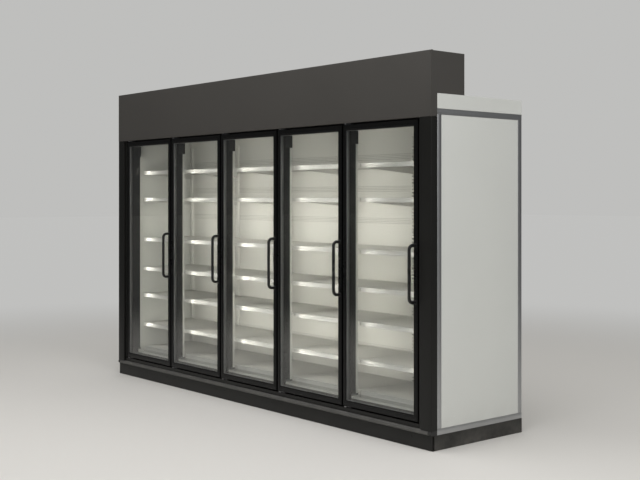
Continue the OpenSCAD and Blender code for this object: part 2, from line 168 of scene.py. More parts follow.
def straight(outline, axis, start, end):
    """An outline carried straight along an axis. Its two columns are the two other coordinates in order."""
    sections = np.zeros((2, len(outline), 3))
    sections[:, :, [k for k in range(3) if k != axis]] = outline
    sections[0, :, axis], sections[1, :, axis] = start, end
    return carried(sections)


def turned(outline, place, axis, steps=24, hex_rows=0):
    """A surface of revolution: the outline's radius and height turned about an axis through a place.
    The last rows can have a hexagon instead of a circle, whose radius is the cosine law of a hexagon's side."""
    r, h = np.asarray(outline, float).T
    angle = np.arange(steps) * 2 * np.pi / steps
    six = math.cos(math.pi / 6) / np.cos(angle % (np.pi / 3) - np.pi / 6)
    radius = np.repeat(r[:, None], steps, 1)
    if hex_rows:
        radius[-hex_rows:] *= six[None]
    along = np.asarray(axis, float)
    side = np.roll(along, 1)
    other = np.cross(along, side)
    points = (radius * np.cos(angle))[..., None] * side + (radius * np.sin(angle))[..., None] * other
    return carried(points + h[:, None, None] * along + np.asarray(place, float))


def repeated(shape, places):
    """The same shape at several places."""
    points, faces = shape
    places = np.asarray(places, float)
    moved = (points[None] + places[:, None]).reshape(-1, 3)
    size = len(points)
    return moved, [[v + k * size for v in face] for k in range(len(places)) for face in faces]


def joined(shapes):
    """Several shapes as one."""
    starts = np.cumsum([0] + [len(points) for points, _ in shapes])
    faces = [[v + start for v in face] for (_, made), start in zip(shapes, starts.tolist()) for face in made]
    return np.concatenate([points for points, _ in shapes]), faces


def ring(outer, front, outline, other_outline=None, groove=0.0):
    """A bar carried round a rectangle, with mitred corners. An outline gives the distance from the rectangle's
    edge and the depth behind the front, and the left bar can have one of its own. At a corner, x comes from the
    upright bar's outline and z from the level bar's, and a groove runs in along the mitre."""
    (x0, z0), (x1, z1) = outer
    level = np.asarray(outline, float)
    left = level if other_outline is None else np.asarray(other_outline, float)
    along = np.roll(level, -1, 0) - np.roll(level, 1, 0)
    out = np.stack([along[:, 1], -along[:, 0]], 1) / np.linalg.norm(along, axis=1, keepdims=True)
    ahead = np.roll(level, -1, 0)
    if (level[:, 0] * ahead[:, 1] - level[:, 1] * ahead[:, 0]).sum() < 0:
        out = -out
    sections = []
    for right, top in ((0, 0), (1, 0), (1, 1), (0, 1)):
        upright = level if right else left
        beside, after = ((0, groove), (groove, 0)) if right == top else ((groove, 0), (0, groove))
        for inward, (dx, dz) in ((0, beside), (groove, (0, 0)), (0, after)) if groove else ((0, (0, 0)),):
            across, down = upright - inward * out, level - inward * out
            x = x1 - across[:, 0] - dx if right else x0 + across[:, 0] + dx
            z = z1 - down[:, 0] - dz if top else z0 + down[:, 0] + dz
            sections.append(np.stack([x, front + down[:, 1], z], 1))
    return carried(np.array(sections), close_path=True)


def tube(path, radius, steps=28):
    """A round bar along a path in a plane of equal x: each section is a circle across the path's direction."""
    path = np.asarray(path, float)
    ahead = np.gradient(path, axis=0)
    ahead /= np.linalg.norm(ahead, axis=1, keepdims=True)
    side = np.cross(ahead, [1.0, 0.0, 0.0])
    angle = np.arange(steps) * 2 * np.pi / steps
    sections = path[:, None] + radius * (np.cos(angle)[None, :, None] * side[:, None]
                                         + np.sin(angle)[None, :, None] * np.array([1.0, 0.0, 0.0]))
    return carried(sections)


# ---- Pieces ----

def in_scene(name, data):
    """A new object in the scene."""
    made = bpy.data.objects.new(name, data)
    bpy.context.scene.collection.objects.link(made)
    return made


def placed(mesh, coat_name, sharp, body, replaces):
    """Puts a mesh with a finish into the scene, where it rides on a body of the frame and can replace nodes."""
    mesh.polygons.foreach_set("use_smooth", np.ones(len(mesh.polygons), bool))
    mesh.set_sharp_from_angle(angle=math.radians(sharp))
    mesh.materials.append(finish(coat_name))
    made = in_scene(mesh.name, mesh)
    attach(made, body)
    if replaces:
        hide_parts(*replaces)
    return made


def piece(name, shape, coat_name, body, replaces=()):
    """Makes a piece of a shape."""
    points, faces = shape
    mesh = bpy.data.meshes.new(name)
    mesh.from_pydata(points.tolist(), [], faces)
    mesh.validate()
    placed(mesh, coat_name, 35, body, replaces)


def eased(node, width, coat_name, segments=2):
    """A copy of a node with its loose triangles merged, its flat faces joined and its edges rounded."""
    source = frame["nodes"][node]
    corners = np.empty(len(source.data.loops), int)
    source.data.loops.foreach_get("vertex_index", corners)
    points, index = np.unique(np.round(points_of(node), 5), axis=0, return_inverse=True)
    faces = index.ravel()[corners].reshape(-1, 3)
    faces = faces[(faces != np.roll(faces, 1, 1)).all(1)]
    mesh = bpy.data.meshes.new(node + "_eased")
    mesh.from_pydata(points.tolist(), [], faces.tolist())
    work = bmesh.new()
    work.from_mesh(mesh)
    bmesh.ops.dissolve_limit(work, angle_limit=math.radians(1), verts=work.verts, edges=work.edges)
    work.to_mesh(mesh)
    work.free()
    bevel = placed(mesh, coat_name, 50, source["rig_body"], [node]).modifiers.new("Eased edges", "BEVEL")
    bevel.width, bevel.segments = width, segments
    bevel.limit_method, bevel.angle_limit = "ANGLE", math.radians(30)
    bevel.harden_normals = True


def area_lamp(name, place, toward, size, watts):
    """A rectangular lamp that faces along a direction."""
    light = bpy.data.lights.new(name, "AREA")
    light.shape, light.size, light.size_y, light.energy = "RECTANGLE", *size, watts
    made = in_scene(name, light)
    made.location = place
    made.rotation_euler = Vector(toward).to_track_quat("-Z", "Y").to_euler()
    return made


def coat(node, made):
    """Gives a node of the frame a material."""
    mesh = frame["nodes"][node].data
    mesh.materials.clear()
    mesh.materials.append(made)


# ---- Shader nodes ----

def feed(node, inputs):
    """Gives a shader node its inputs, as values or as sockets to link."""
    for label, value in inputs.items():
        if isinstance(value, bpy.types.NodeSocket):
            node.id_data.links.new(value, node.inputs[label])
        else:
            node.inputs[label].default_value = value


def add(kind, inputs, tree=None, **settings):
    """A shader node with its inputs and settings. Without a tree it goes into the tree of its inputs' sockets."""
    tree = tree or next(each for each in inputs.values() if isinstance(each, bpy.types.NodeSocket)).id_data
    made = tree.nodes.new("ShaderNode" + kind)
    for key, value in settings.items():
        setattr(made, key, value)
    feed(made, inputs)
    return made


def sums(operation, a, b=0.0, c=0.0, clamp=False):
    """The result of one step of arithmetic."""
    return add("Math", {0: a, 1: b, 2: c}, operation=operation, use_clamp=clamp).outputs[0]


def blend(factor, a, b):
    """A mix of two colours."""
    return add("Mix", {0: factor, 6: a, 7: b}, data_type="RGBA").outputs[2]


def noise(vector, scale, detail=2.0, roughness=0.5):
    """A noise value along a vector."""
    return add("TexNoise", {"Vector": vector, "Scale": scale, "Detail": detail,
                            "Roughness": roughness}).outputs["Fac"]


def scaled(colour, factor):
    """A colour times a factor."""
    return add("VectorMath", {0: colour, "Scale": factor}, operation="SCALE").outputs[0]


def axes(vector):
    """The three parts of a vector."""
    return add("SeparateXYZ", {0: vector}).outputs


def powder(given, place):
    """Fine orange peel, and a slow drift of the shade and the gloss."""
    skin = noise(place, sums("DIVIDE", 1.0, given["Grain"]), 2.0, 0.6)
    drift = sums("SUBTRACT", noise(place, 2.3, 3.0), 0.5)
    shade = sums("MULTIPLY_ADD", drift, given["Drift"], 1.0)
    speckle = sums("SUBTRACT", skin, 0.5)
    shade = sums("MULTIPLY_ADD", speckle, sums("MULTIPLY", given["Drift"], 0.5), shade)
    rough = sums("MULTIPLY_ADD", drift, 0.2, given["Roughness"], clamp=True)
    return {"Color": scaled(given["Color"], shade), "Roughness": rough, "Height": skin}


def grain(given, place):
    """Fine lines along an extrusion: noise that is stretched by the given scale."""
    stretched = add("VectorMath", {0: place, 1: given["Scale"]}, operation="MULTIPLY").outputs[0]
    lines = noise(stretched, 1.0, 4.0, 0.7)
    middle = sums("SUBTRACT", lines, 0.5)
    shade = sums("MULTIPLY_ADD", middle, given["Strength"], 1.0)
    gloss = sums("MULTIPLY", given["Strength"], 0.5)
    rough = sums("MULTIPLY_ADD", middle, gloss, given["Roughness"], clamp=True)
    return {"Color": scaled(given["Color"], shade), "Roughness": rough, "Height": lines}


def settled(given, place):
    """Dust that thins out with the height above the floor and lies on faces that look up."""
    z = axes(place)["Z"]
    up = axes(add("NewGeometry", {}, place.id_data).outputs["Normal"])["Z"]
    low = sums("SUBTRACT", 1.0, sums("DIVIDE", z, given["Reach"]), clamp=True)
    low = sums("POWER", low, 2.0)
    patches = sums("MULTIPLY_ADD", noise(place, 9.0, 5.0, 0.65), 2.4, -0.6, clamp=True)
    lying = sums("MULTIPLY", sums("POWER", sums("MAXIMUM", up, 0.0), 6.0), 0.5)
    cover = sums("MULTIPLY", sums("ADD", low, lying, clamp=True), patches)
    cover = sums("MULTIPLY", cover, given["Amount"], clamp=True)
    rough = sums("MULTIPLY_ADD", sums("SUBTRACT", 0.85, given["Roughness"]), cover, given["Roughness"])
    return {"Color": blend(cover, given["Color"], given["Dust"]), "Roughness": rough}


def handled(given, place):
    """Gloss where hands touch, in soft patches about one height."""
    above = sums("SUBTRACT", axes(place)["Z"], given["Middle"])
    away = sums("DIVIDE", sums("ABSOLUTE", above), given["Reach"])
    touch = sums("SUBTRACT", 1.0, sums("POWER", away, 2.0), clamp=True)
    patches = sums("MULTIPLY_ADD", noise(place, 30.0, 2.0, 0.5), 2.0, -0.6, clamp=True)
    touch = sums("MULTIPLY", touch, patches)
    rough = sums("MULTIPLY_ADD", touch, -0.10, given["Roughness"], clamp=True)
    lighter = sums("MULTIPLY_ADD", touch, 0.3, 1.0)
    return {"Color": scaled(given["Color"], lighter), "Roughness": rough}


def embossed(given, place):
    """The pebbled face of a stucco sheet: rounded cells with finer ones between them."""
    scale = sums("DIVIDE", 1.0, given["Size"])
    cells = add("TexVoronoi", {"Vector": place, "Scale": scale, "Smoothness": 0.6, "Randomness": 1.0},
                feature="SMOOTH_F1").outputs["Distance"]
    fine = noise(place, sums("MULTIPLY", scale, 1.7), 2.0)
    return {"Height": sums("MULTIPLY_ADD", fine, 0.4, cells)}


def pierced(given, place):
    """Rows of round holes in bands: the distance from the middle of each cell of a grid over x and z. The holes
    are bumped and painted dark, as painted shade inside them.
    """
    at = axes(place)
    squares = []
    for key in ("X", "Z"):
        cell = sums("FRACT", sums("DIVIDE", at[key], given["Pitch"]))
        squares.append(sums("POWER", sums("ABSOLUTE", sums("SUBTRACT", cell, 0.5)), 2.0))
    away = sums("SQRT", sums("ADD", *squares))
    edge = sums("DIVIDE", sums("MULTIPLY", given["Hole"], 0.5), given["Pitch"])
    hole = sums("LESS_THAN", away, edge)
    band = sums("FRACT", sums("DIVIDE", sums("SUBTRACT", at["Z"], given["Start"]), given["Band"]))
    hole = sums("MULTIPLY", hole, sums("LESS_THAN", band, given["Share"]))
    # Painted shade: the colour is darkened inside each hole to stand in for the shade within it
    hole_shade = sums("MULTIPLY_ADD", hole, -0.85, 1.0)
    return {"Color": scaled(given["Color"], hole_shade), "Height": sums("SUBTRACT", 1.0, hole)}


GREY = (0.5, 0.5, 0.5, 1.0)
ALONG_Z = (900, 900, 6)  # Scales that draw noise out into fine lines along z

# Each effect: its inputs with their defaults, its outputs, and the function that builds it
EFFECTS = {
    "Powder coat": ({"Color": GREY, "Roughness": 0.5, "Grain": 0.0012, "Drift": 0.1},
                    ("Color", "Roughness", "Height"), powder),
    "Drawn grain": ({"Color": GREY, "Roughness": 0.4, "Scale": ALONG_Z, "Strength": 0.2},
                    ("Color", "Roughness", "Height"), grain),
    "Settled dust": ({"Color": GREY, "Roughness": 0.5, "Dust": GREY, "Reach": 0.3, "Amount": 0.4},
                     ("Color", "Roughness"), settled),
    "Handled": ({"Color": GREY, "Roughness": 0.4, "Middle": 1.15, "Reach": 0.25}, ("Color", "Roughness"), handled),
    "Embossed sheet": ({"Size": 0.006}, ("Height",), embossed),
    "Pierced sheet": ({"Color": GREY, "Pitch": 0.012, "Hole": 0.005, "Start": 0.0, "Band": 0.1, "Share": 0.5},
                      ("Color", "Height"), pierced),
}


def effect(name):
    """The shader node group of an effect, made once. A value of three parts is a vector, and of four a colour."""
    group = bpy.data.node_groups.get(name)
    if group:
        return group
    inputs, outputs, build = EFFECTS[name]
    group = bpy.data.node_groups.new(name, "ShaderNodeTree")
    for label, value in inputs.items():
        kind = {1: "Float", 3: "Vector", 4: "Color"}[np.size(value)]
        socket = group.interface.new_socket(label, in_out="INPUT", socket_type="NodeSocket" + kind)
        socket.default_value = value
    for label in outputs:
        kind = "Color" if label == "Color" else "Float"
        group.interface.new_socket(label, in_out="OUTPUT", socket_type="NodeSocket" + kind)
    given, result = group.nodes.new("NodeGroupInput"), group.nodes.new("NodeGroupOutput")
    place = add("TexCoord", {}, group).outputs["Object"]
    feed(result, build(given.outputs, place))
    return group


def colours():
    return bpy.context.scene.case_colours


def sizes():
    return bpy.context.scene.case_sizes


def rgba(name):
    """One of the colours that a user can change, with full cover."""
    return (*getattr(colours(), name), 1.0)


def material(name, build):
    """A material made once, whose shader is fed with what build returns for its tree."""
    made = bpy.data.materials.get(name)
    if not made:
        made = bpy.data.materials.new(name)
        made.use_nodes = True
        feed(made.node_tree.nodes["Principled BSDF"], build(made.node_tree))
    return made


def over(tree, look, kind, values):
    """Lays an effect over a look of colour, roughness and height, and returns the new look."""
    made = add("Group", {}, tree, node_tree=effect(kind))
    feed(made, {label: value for label, value in {**look, **values}.items() if label in made.inputs})
    return {**look, **dict(made.outputs.items())}


def finish(name):
    """The material of one of the finishes: effects one over another, and a bump whose depth is in metres."""
    colour, roughness, depth, specular, metallic, *effects = FINISHES[name]

    def build(tree):
        look = {"Color": rgba(colour), "Roughness": roughness}
        for kind, values in effects:
            look = over(tree, look, kind, {"Dust": rgba("dust"), **values})
        bump = add("Bump", {"Height": look["Height"], "Distance": depth, "Strength": 1.0})
        return {"Base Color": look["Color"], "Roughness": look["Roughness"], "Normal": bump.outputs["Normal"],
                "Specular IOR Level": specular, "Metallic": metallic}
    return material(name, build)


# Effects with their values, as a finish lists them

def peel(size=0.0012, drift=0.1):
    return "Powder coat", {"Grain": size, "Drift": drift}


def drawn(scale, strength):
    return "Drawn grain", {"Scale": scale, "Strength": strength}


def dusty(amount, reach=0.3):
    return "Settled dust", {"Amount": amount, "Reach": reach}


def touched(reach):
    return "Handled", {"Middle": 1.15, "Reach": reach}


HOLES = ("Pierced sheet", {"Pitch": 0.0125, "Hole": 0.005, "Start": float(low_high("air_panel")[0][2]),
                           "Band": 0.25, "Share": 0.2})
PEBBLES = ("Embossed sheet", {"Size": 0.005})

# Each finish: its colour, roughness, depth of the bump, specular level, share of metal, and its effects
FINISHES = {
    "Charcoal coat": ("charcoal", 0.5, 0.00006, 0.4, 0.0, peel(), dusty(0.08)),
    "Black coat": ("black", 0.42, 0.00006, 0.3, 0.0, peel(0.0009), dusty(0.03, 0.22)),
    "Black leaf coat": ("leaf", 0.34, 0.00004, 0.2, 0.0, peel(0.0007, 0.15), touched(0.35)),
    "Pull coat": ("pull", 0.36, 0.00003, 0.4, 0.0, peel(0.0006, 0.2), touched(0.2)),
    "Base rail coat": ("black", 0.6, 0.00006, 0.5, 0.0, peel(), dusty(0.25)),
    # The shelves' grey is the interior's white made darker: painted shade for the shadow on and under the shelves
    "Shelf coat with painted shade": ("shelf", 0.42, 0.00004, 0.5, 0.0, peel(drift=0.05)),
    "Interior coat": ("interior", 0.42, 0.00004, 0.5, 0.0, peel(drift=0.05)),
    "Pierced interior coat": ("interior", 0.42, 0.001, 0.5, 0.0, peel(drift=0.05), HOLES),
    "Embossed panel sheet": ("panel", 0.46, 0.0006, 0.5, 0.0, peel(0.0015, 0.04), dusty(0.35, 0.35), PEBBLES),
    "Grey bead plastic": ("bead", 0.5, 0.00006, 0.5, 0.0, peel()),
    "Gasket rubber": ("rubber", 0.7, 0.0001, 0.5, 0.0, peel(0.0015), dusty(0.1)),
    "Bumper plastic": ("bumper", 0.5, 0.0001, 0.5, 0.0, peel(0.0011, 0.2), dusty(0.3, 0.5)),
    "Price rail plastic": ("rail", 0.3, 0.00003, 0.5, 0.0, peel(0.003, 0.04)),
    "Spacer metal": ("spacer", 0.4, 0.00002, 0.5, 0.6, drawn((300, 300, 300), 0.1)),
    "Bracket steel": ("steel", 0.38, 0.00003, 0.5, 1.0, drawn((500, 30, 500), 0.2), dusty(0.15)),
    "Lamp housing metal": ("lamp", 0.42, 0.00003, 0.5, 0.0, drawn(ALONG_Z, 0.1), dusty(0.15)),
    "Dark mullion coat": ("mullion", 0.4, 0.00003, 0.3, 0.0, drawn(ALONG_Z, 0.3), dusty(0.15)),
    "Trim metal": ("trim", 0.42, 0.00003, 0.5, 1.0, drawn(ALONG_Z, 0.25), dusty(0.3)),
}


def lens_plastic():
    """Frosted plastic that glows a little more over each of the lights behind it."""
    def build(tree):
        z = axes(add("TexCoord", {}, tree).outputs["Object"])["Z"]
        wave = sums("COSINE", sums("MULTIPLY", z, 2 * math.pi / 0.03))
        spots = sums("MULTIPLY_ADD", wave, 0.12, 0.88)
        return {"Base Color": rgba("light"), "Roughness": 0.5, "Emission Color": scaled(rgba("light")[:3], spots),
                "Emission Strength": 1.0}
    return material("Lamp lens", build)


def clear_glass():
    """Clear glass that lets the light of the lamps straight through."""
    def build(tree):
        clear = add("BsdfTransparent", {"Color": rgba("glass")}, tree)
        mixed = add("MixShader", {0: add("LightPath", {}, tree).outputs["Is Shadow Ray"],
                                  1: tree.nodes["Principled BSDF"].outputs[0], 2: clear.outputs[0]})
        feed(tree.nodes["Material Output"], {"Surface": mixed.outputs[0]})
        return {"Base Color": rgba("glass"), "Roughness": 0.0, "IOR": 1.3, "Transmission Weight": 1.0}
    return material("Clear glass", build)


# ---- The sizes and colours that a user can change ----

def length(name, description, default):
    return bpy.props.FloatProperty(name=name, description=description, default=default, min=0.00001, precision=5,
                                   unit="LENGTH")


def tint(name, description, default):
    return bpy.props.FloatVectorProperty(name=name, description=description, default=default, min=0.0, max=1.0,
                                         size=3, subtype="COLOR")


def power(name, description, default):
    return bpy.props.FloatProperty(name=name, description=description, default=default, min=0.0, unit="POWER")


class CaseSizes(bpy.types.PropertyGroup):
    """Sizes of the details that the frame leaves open."""
    edge: length("Edge", "Rounding of an edge of a coated sheet or bar", 0.0012)
    panel_edge: length("Panel edge", "Rounding of an edge of an insulated panel", 0.002)
    fold: length("Fold", "Outer radius of a folded sheet", 0.004)
    sheet: length("Sheet", "Thickness of a folded sheet", 0.003)
    mitre: length("Mitre", "Width and depth of the line along a mitre", 0.0004)
    bead_line: length("Bead line", "Distance from a leaf's outer edge to the line of its glazing bead", 0.0295)
    screw: length("Screw", "Diameter of a screw's head", 0.009)
    lamp_end: length("Lamp end", "Length at each end of a lens that no light stands behind", 0.085)
    lamp_back: power("Lamp power, back", "Power that one side of a lamp sends towards the air panel", 3.7)
    lamp_side: power("Lamp power, side", "Power that one side of a lamp sends along the shelf fronts", 0.5)


class CaseColours(bpy.types.PropertyGroup):
    """Colours of the finishes."""
    charcoal: tint("Charcoal", "Header", (0.060, 0.056, 0.051))
    black: tint("Black", "Side surrounds, door frame and kick panel", (0.009, 0.009, 0.008))
    leaf: tint("Leaf", "Door leaves", (0.004, 0.004, 0.004))
    mullion: tint("Mullion", "Mullions and the lamps beside the end walls", (0.008, 0.008, 0.007))
    pull: tint("Pull", "Door pulls", (0.012, 0.012, 0.012))
    # Darker than the interior colour: painted shade for the shadow on and under the shelves
    shelf: tint("Shelf", "Shelves and deck trays", (0.50, 0.50, 0.475))
    interior: tint("Interior", "Slotted uprights and air panel", (0.73, 0.73, 0.695))
    rail: tint("Price rail", "Price rails", (0.62, 0.62, 0.60))
    panel: tint("Panel", "Insulated panels", (0.66, 0.67, 0.64))
    glass: tint("Glass", "Tint of a pane", (0.95, 0.955, 0.945))
    spacer: tint("Spacer", "Spacer between the panes", (0.22, 0.22, 0.22))
    bead: tint("Bead", "Inner bead around the glass", (0.10, 0.10, 0.10))
    rubber: tint("Rubber", "Gaskets", (0.020, 0.020, 0.020))
    bumper: tint("Bumper", "Bumper rail", (0.070, 0.070, 0.067))
    steel: tint("Steel", "Hinge brackets", (0.35, 0.35, 0.36))
    lamp: tint("Lamp housing", "Lamp housings", (0.60, 0.60, 0.57))
    light: tint("Light", "Lamp lenses and the light of the lamps", (1.0, 0.965, 0.895))
    trim: tint("Trim", "Strips and rivets of the end walls", (0.50, 0.51, 0.52))
    dust: tint("Dust", "Dust on the finishes", (0.30, 0.28, 0.25))
    floor: tint("Floor", "Studio floor", (0.74, 0.72, 0.69))
    backdrop: tint("Backdrop", "Studio around the case", (0.52, 0.52, 0.51))
    dim_side: tint("Mirrored backdrop", "Studio as the case's glossy faces mirror it", (0.09, 0.09, 0.09))


class CasePiece:
    """What every operator of this file shares."""
    bl_options = {"REGISTER", "UNDO"}


class CASE_OT_shell(CasePiece, bpy.types.Operator):
    """Insulated panels, base rails, air panel and the header's plates"""
    bl_idname = "case.shell"
    bl_label = "Shell"

    def execute(self, context):
        s = sizes()
        for node in ("floor_slab", "back_wall", "roof_panel"):
            eased(node, s.panel_edge, "Embossed panel sheet")
        eased("base_rails", s.edge, "Base rail coat")
        eased("header_returns", s.edge / 2, "Charcoal coat")
        coat("air_panel", finish("Pierced interior coat"))
        return {"FINISHED"}


class CASE_OT_end_walls(CasePiece, bpy.types.Operator):
    """End walls with an embossed face, strips along their edges and rivets in the strips"""
    bl_idname = "case.end_walls"
    bl_label = "End walls"

    def execute(self, context):
        low, high = low_high("end_walls")
        inner = low_high("frame_sill")[1][0]
        # How deep the sheet's face and the strips' lie inside the wall's bounds, a strip's width, edge and gap
        face, strip, wide, edge, gap = 0.0026, 0.0014, 0.04, 0.0003, 0.0005
        (x, y1), y0, z0, z1 = high[:2], low[1], low[2], high[2]
        core = rounded(rectangle(inner, y0, x - face, y1 - face), 0.0015, 3)
        corner = rounded([(x - strip, y1 - wide), (x - strip, y1 - strip), (x - wide, y1 - strip),
                          (x - wide, y1 - face), (x - face, y1 - face), (x - face, y1 - wide)],
                         [edge, 0.0011, edge, edge, 0.0001, edge], 3)
        upright = rounded(rectangle(x - face, y0, x - strip, y0 + wide), edge, 2)
        level = [rounded(rectangle(x - face, a, x - strip, a + wide), edge, 2) for a in (z0, z1 - wide)]
        inside = (z0 + wide + gap, z1 - wide - gap)
        shapes = [straight(corner, 2, *inside), straight(upright, 2, *inside),
                  *[straight(outline, 1, y0, y1 - strip) for outline in level]]
        first_up, first_across = 0.09, 0.03
        up = np.linspace(z0 + first_up, z1 - first_up, 14)
        across = np.linspace(y0 + first_across, y1 - first_across, 6)
        spots = [(x - strip, y, z) for y in (y0 + wide / 2, y1 - wide / 2) for z in up]
        spots += [(x - strip, y, z) for z in (z0 + wide / 2, z1 - wide / 2) for y in across]
        rivet = turned([(0.0040, -0.0002), (0.0040, 0.0002), (0.0034, 0.0007), (0.0020, 0.0011), (0.0001, 0.0012)],
                       (0, 0, 0), (1, 0, 0), 12)
        shapes.append(repeated(rivet, spots))
        piece("end_wall_panels", self.both(straight(core, 2, z0, z1)), "Embossed panel sheet", "cabinet",
              ["end_walls"])
        piece("end_wall_strips", self.both(joined(shapes)), "Trim metal", "cabinet")
        return {"FINISHED"}

    def both(self, shape):
        """A shape and its mirror image at the other end of the case."""
        points, faces = shape
        return joined([shape, (points * (-1, 1, 1), [face[::-1] for face in faces])])


class CASE_OT_trim(CasePiece, bpy.types.Operator):
    """Folded sheets of the header, the side surrounds and the kick panel, and the moulded bumper rail"""
    bl_idname = "case.trim"
    bl_label = "Trim"

    def folded(self, depth, height):
        """A sheet folded back at both ends, as depth and height from its lower front corner."""
        t, r = sizes().sheet, sizes().fold
        corners = [(0, 0), (depth, 0), (depth, t), (t, t), (t, height - t), (depth, height - t), (depth, height),
                   (0, height)]
        return rounded(corners, [r, t * 0.2, t * 0.2, r - t, r - t, t * 0.2, t * 0.2, r], 6)

    def execute(self, context):
        for node, coat_name, slot in (("header_fascia", "Charcoal coat", "charcoal_coat"),
                                      ("kick_panel", "Black coat", "black_coat")):
            low, high = low_high(node)
            outline = self.folded(high[1] - low[1], high[2] - low[2]) + low[1:]
            piece(node + "_sheet", straight(outline, 0, low[0], high[0]), coat_name, "cabinet", [node])
        low, high = low_high("side_surrounds")
        width = high[0] - low_high("frame_sill")[1][0]
        outline = self.folded(high[1] - low[1], width)[:, ::-1]
        sheets = [straight(outline * (side, 1) + (side * (high[0] - width), low[1]), 2, low[2], high[2])
                  for side in (-1, 1)]
        piece("side_surround_sheets", joined(sheets), "Black coat", "cabinet", ["side_surrounds"])
        self.bumper()
        return {"FINISHED"}

    def bumper(self):
        """The rail's section: a half circle with two round grooves, and flat faces behind it."""
        low, high = low_high("bumper_rail")
        r, cap = (high[2] - low[2]) / 2, 0.03
        degrees = np.linspace(-90, 90, 181)
        circle = np.stack([-np.cos(np.radians(degrees)), np.sin(np.radians(degrees))], 1)

        def section(radius):
            nose = circle * radius + (low[1] + r, low[2] + r)
            return np.concatenate([nose, [(high[1], high[2]), (high[1], low[2])]])

        groove = np.clip(1 - ((np.abs(degrees) - 25) / 5.5) ** 2, 0, 1) ** 0.5
        grooved, plain = section(r - 0.0018 * groove[:, None]), section(r)
        piece("bumper_moulding", straight(grooved, 0, low[0] + cap, high[0] - cap), "Bumper plastic", "cabinet",
              ["bumper_rail"])
        centre = plain.mean(0)
        caps = []
        for inner, outer in ((low[0] + cap, low[0]), (high[0] - cap, high[0])):
            step = (outer - inner) / 10
            grow = [(inner, 0.97), (inner + step * 0.3, 1.0), (outer - step * 0.6, 1.0),
                    (outer - step * 0.2, 0.985), (outer, 0.94)]
            sections = [np.column_stack([np.full(len(plain), x), centre + (plain - centre) * share])
                        for x, share in grow]
            caps.append(carried(np.array(sections)))
        piece("bumper_end_caps", joined(caps), "Gasket rubber", "cabinet")


class CASE_OT_door_frame(CasePiece, bpy.types.Operator):
    """Sill, head, jambs and mullions, with the hinge brackets"""
    bl_idname = "case.door_frame"
    bl_label = "Door frame"

    def execute(self, context):
        s = sizes()
        for node in ("frame_sill", "frame_head", "frame_jambs"):
            eased(node, s.edge, "Black coat")
        eased("frame_mullions", s.edge, "Dark mullion coat")
        eased("hinge_brackets", s.edge / 2, "Bracket steel")
        return {"FINISHED"}


class CASE_OT_lamps(CasePiece, bpy.types.Operator):
    """Lamp bases with the covers that hold their lenses, and the connector and foot at the ends of each lamp"""
    bl_idname = "case.lamps"
    bl_label = "Lamps"

    def execute(self, context):
        coat("lamp_lenses", lens_plastic())
        (low, high), (end_low, end_high) = lamp_boxes("lamp_housings")
        (_, lens), (_, end_lens) = lamp_boxes("lamp_lenses")
        top, sill_end = low_high("frame_mullions")[1][2], low_high("frame_sill")[1][0]
        places = [(x, low[1], 0) for x in lamp_lines()]
        # Half widths of a lamp at the mullion, at the lens's edge and at its back, and the depths of those two
        wide, half, narrow = 0.032, LENS_HALF, 0.020
        d, deep = high[1] - low[1], lens[1] - low[1]
        seam, inset, tight, soft = d - 0.018, 0.002, 0.0002, 0.0008
        base = rounded(mirrored([(wide, 0), (half + 0.0004, seam)]), [soft, 0.0006, 0.0006, soft], 3)
        piece("lamp_bases", repeated(straight(base, 2, low[2], high[2]), places), "Dark mullion coat",
              "cabinet", ["lamp_housings"])
        cover = rounded(mirrored([(half - 0.0004, seam)] + self.lip(half, d)),
                        [tight, soft, *[tight] * 6, soft, tight], 3)
        piece("lamp_covers", repeated(straight(cover, 2, low[2] + inset, high[2] - inset), places),
              "Lamp housing metal", "cabinet", ["lamp_housings"])

        # The connector grips the top of a lamp and reaches up to its mullion's end, and the foot stands below
        grip, foot, wall = 0.055, 0.012, 0.0015
        block = rounded([(-wide - wall, 0), (wide + wall, 0), (wide, d + 2 * wall),
                         (narrow + 2 * wall, deep + wall), (-narrow - 2 * wall, deep + wall),
                         (-wide, d + 2 * wall)], 0.003)
        spans = (high[2] - grip, top), (low[2] - foot, low[2])
        tops, feet = [[repeated(straight(block, 2, *span), places)] for span in spans]

        width, d, deep = end_high[0] - end_low[0], end_high[1] - end_low[1], end_lens[1] - end_low[1]
        slim = rounded([(0, 0), (width, 0)] + self.lip(width + 0.0006, d) + [(0, d - 0.0004)],
                       [0.0003, soft, soft, tight, tight, tight, tight], 3)
        block = rounded([(0, 0), (width + wall, 0), (width + wall, d + 2 * wall), (width - 2 * wall, deep + wall),
                         (0, deep + wall)], 0.002)
        ends = []
        for sign in (-1, 1):
            turn, place = (-sign, 1), (sign * sill_end, end_low[1])
            ends.append(straight(slim * turn + place, 2, low[2], high[2]))
            for shapes, span in zip((tops, feet), spans):
                shapes.append(straight(block * turn + place, 2, *span))
        piece("end_lamp_extrusions", joined(ends), "Dark mullion coat", "cabinet",
              ["lamp_housings"])
        piece("lamp_connectors", joined(tops), "Gasket rubber", "cabinet")
        piece("lamp_feet", joined(feet), "Grey bead plastic", "cabinet")
        return {"FINISHED"}

    def lip(self, edge, d):
        """The edge of an extrusion that grips the lens, from the side round to the seat behind the lens."""
        return [(edge, d + 0.0004), (edge - 0.0036, d + 0.0024), (edge - 0.0040, d + 0.0018),
                (edge - 0.0008, d - 0.0004)]


